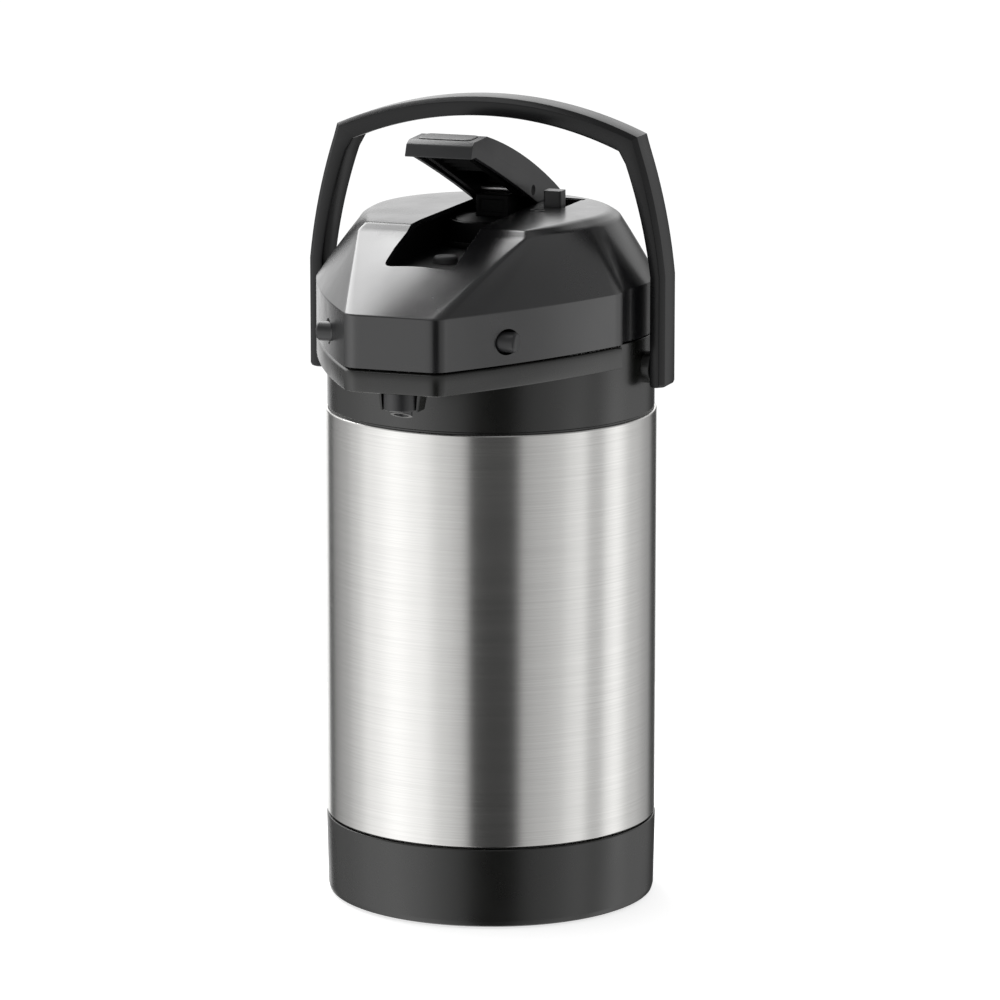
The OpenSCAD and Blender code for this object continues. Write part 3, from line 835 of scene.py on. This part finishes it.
def make_handle():
    """A strap with a chamfer round its outer side and softer edges inside."""
    outer, inner = handle_sides()
    count = len(outer)
    chamfer = 2.4
    smooth_angle = 24
    # The first two stations of each foot are narrower, which rounds it off.
    foot_shrink = {0: 1.6, 1: 0.5}
    rings = []
    for side in (1, -1):
        stations = range(count) if side == 1 else range(count - 2, -1, -1)
        for i in stations:
            a = Vector((outer[i][0], 0, outer[i][1]))
            b = Vector((inner[i][0], 0, inner[i][1]))
            across = (b - a).length
            unit = (b - a) / across
            y = high("handle").y - foot_shrink.get(i, 0)
            corners = [(0, chamfer - y), (0, y - chamfer), (chamfer, y), (across, y), (across, -y),
                       (chamfer, -y)]
            section = rounded(corners, [0.7, 0.7, 0.7, 1.3, 1.3, 0.7], 2)
            ring = [a + unit * s + Vector((0, t, 0)) for s, t in section]
            rings.append([(side * p.x, p.y, p.z) for p in ring])
    handle = skin("handle_skin", rings, smooth_angle=smooth_angle)
    for side in (-1, 1):
        boolean(handle, rod_cutter(4.05, side * 80, side * 91.2, 0, PIVOT_Z))
    smooth(handle, smooth_angle)
    return dressed(handle, "handle", "handle_plastic", "handle")


make_base()
make_jacket()
make_head()
make_button_cups()
make_hexagon()
make_well()
make_collar()
make_guard()
make_nozzle()
make_buttons()
make_lock()
make_lever()
make_thumb_pad()
make_plunger()
make_pusher()
make_link_shade_caps()
make_handle()

# ---- studio ----

# Brightness of the tent round the pot, by degrees from the main view, left negative.
# The tent stays where it is when another view moves the camera.
TENT = [(-180, 1.3), (-161, 1.2), (-154, 0.1), (-146, 0.12), (-139, 0.34), (-121, 0.52), (-110, 0.78),
        (-93, 1.24), (-70, 1.62), (-51, 1.38), (-33, 0.92), (-21, 0.72), (-17, 0.5), (-13, 0.07),
        (0, 0.05), (15, 0.05), (19, 0.2), (23, 0.55), (36, 0.66), (48, 0.78), (58, 1.05), (66, 1.2),
        (75, 0.7), (82, 0.68), (90, 1.2), (97, 1.42), (116, 0.76), (142, 0.42), (153, 0.07),
        (165, 0.05), (172, 0.6), (180, 1.3)]
# The same above the horizon, where it is more even.
UPPER = [(-180, 1.5), (-140, 1.4), (-100, 0.9), (-50, 0.55), (0, 0.4), (60, 0.45), (110, 0.55),
         (150, 0.9), (180, 1.5)]
ZENITH = (0.3, 0.3, 0.3, 1)
WHITE = (1, 1, 1, 1)
# Heights on the unit sphere between which one band of the tent fades into the next.
HORIZON_FADE = (0.02, 0.2)
ZENITH_FADE = (0.5, 0.72)
BACKDROP_STRENGTH = 1.05
# Radii of the floor disc, whose inner edge is hidden under the pot, and its own light.
FLOOR_RADII = (20, 460)
FLOOR_GLOW = 0.7


def make_world():
    """The tent is what the pot reflects; the camera itself sees a white backdrop."""
    world = bpy.data.worlds.new("studio")
    bpy.context.scene.world = world
    world.use_nodes = True
    tree = world.node_tree
    tree.nodes.clear()

    def add(kind, **values):
        node = tree.nodes.new("ShaderNode" + kind)
        for key, value in values.items():
            setattr(node, key, value)
        return node

    def spread(start, end):
        node = add("MapRange")
        node.inputs["From Min"].default_value = start
        node.inputs["From Max"].default_value = end
        return node

    def gradient(stops):
        node = add("ValToRGB")
        node.color_ramp.interpolation = "EASE"
        for degrees, brightness in stops[1:-1]:
            node.color_ramp.elements.new((degrees + 180) / 360)
        for element, (degrees, brightness) in zip(node.color_ramp.elements, stops):
            element.position = (degrees + 180) / 360
            element.color = (brightness, brightness, brightness, 1)
        return node

    place = add("TexCoord")
    turn = add("VectorRotate", rotation_type="Z_AXIS")
    turn.inputs["Angle"].default_value = -VIEW_TURN
    parts = add("SeparateXYZ")
    towards = add("Math", operation="MULTIPLY")
    towards.inputs[1].default_value = -1
    angle = add("Math", operation="ARCTAN2")
    share = spread(-math.pi, math.pi)
    tent = gradient(TENT)
    upper = gradient(UPPER)
    height = spread(*ZENITH_FADE)
    top = add("Mix", data_type="RGBA")
    top.inputs[MIX_B].default_value = ZENITH
    lift = spread(*HORIZON_FADE)
    above = add("Mix", data_type="RGBA")
    soft = add("Background")
    plain = add("Background")
    plain.inputs["Color"].default_value = WHITE
    plain.inputs["Strength"].default_value = BACKDROP_STRENGTH
    seen = add("LightPath")
    mix = add("MixShader")
    out = add("OutputWorld")
    links = [
        # Angle from the main view, as a share of a full turn.
        (place, "Generated", turn, "Vector"),
        (turn, "Vector", parts, "Vector"),
        (parts, "X", angle, 0),
        (parts, "Y", towards, 0),
        (towards, "Value", angle, 1),
        (angle, "Value", share, "Value"),
        # The bands of the tent: below the horizon, above it and overhead.
        (share, "Result", tent, "Fac"),
        (share, "Result", upper, "Fac"),
        (parts, "Z", height, "Value"),
        (height, "Result", top, MIX_FACTOR),
        (upper, "Color", top, MIX_A),
        (parts, "Z", lift, "Value"),
        (lift, "Result", above, MIX_FACTOR),
        (tent, "Color", above, MIX_A),
        (top, MIX_COLOUR, above, MIX_B),
        # What the camera sees and what the pot sees.
        (above, MIX_COLOUR, soft, "Color"),
        (seen, "Is Camera Ray", mix, "Fac"),
        (soft, "Background", mix, 1),
        (plain, "Background", mix, 2),
        (mix, "Shader", out, "Surface"),
    ]
    for source, output, target, socket in links:
        tree.links.new(source.outputs[output], target.inputs[socket])


def softbox(name, towards, distance, width, height, radiance):
    """A lamp of that radiance, facing the head from a direction. Lengths are in metres."""
    data = bpy.data.lights.new(name, "AREA")
    data.shape = "RECTANGLE"
    data.size = width
    data.size_y = height
    data.energy = radiance * math.pi * width * height
    lamp = bpy.data.objects.new(name, data)
    aim = Vector((0, -0.02, 0.3))
    way = Vector(towards).normalized()
    lamp.location = aim + way * distance
    lamp.rotation_euler = way.to_track_quat("Z", "Y").to_euler()
    lamp.visible_camera = False
    bpy.context.scene.collection.objects.link(lamp)


def make_floor():
    """A pale disc, as bright as the backdrop, that takes a soft shadow."""
    steps = 96
    rings = []
    for r in FLOOR_RADII:
        turns = [FULL_TURN * s / steps for s in range(steps)]
        rings.append([(r * math.cos(a), r * math.sin(a), 0) for a in turns])
    floor = skin("floor", rings, capped=False)
    m = Nodes("floor")
    clouds = m.noise(6, detail=2)
    tone = m.ramp(clouds, "Fac", [(0.3, (0.88, 0.88, 0.88)), (0.7, (0.9, 0.9, 0.9))])
    m.link(tone, "Color", m.shader, "Base Color")
    m.shader.inputs["Roughness"].default_value = 0.9
    m.shader.inputs["Emission Color"].default_value = WHITE
    m.shader.inputs["Emission Strength"].default_value = FLOOR_GLOW
    m.shader.inputs["Specular IOR Level"].default_value = 0.1
    floor.data.materials.append(m.material)
    floor.visible_glossy = False


make_world()
softbox("top_left_softbox", (-0.546, 0.461, 0.7), 1.5, 0.95, 0.98, 5.2)
softbox("top_softbox", (-0.3, -0.25, 0.92), 1.6, 0.7, 0.7, 1.3)
make_floor()
bpy.context.scene.view_settings.view_transform = "Standard"
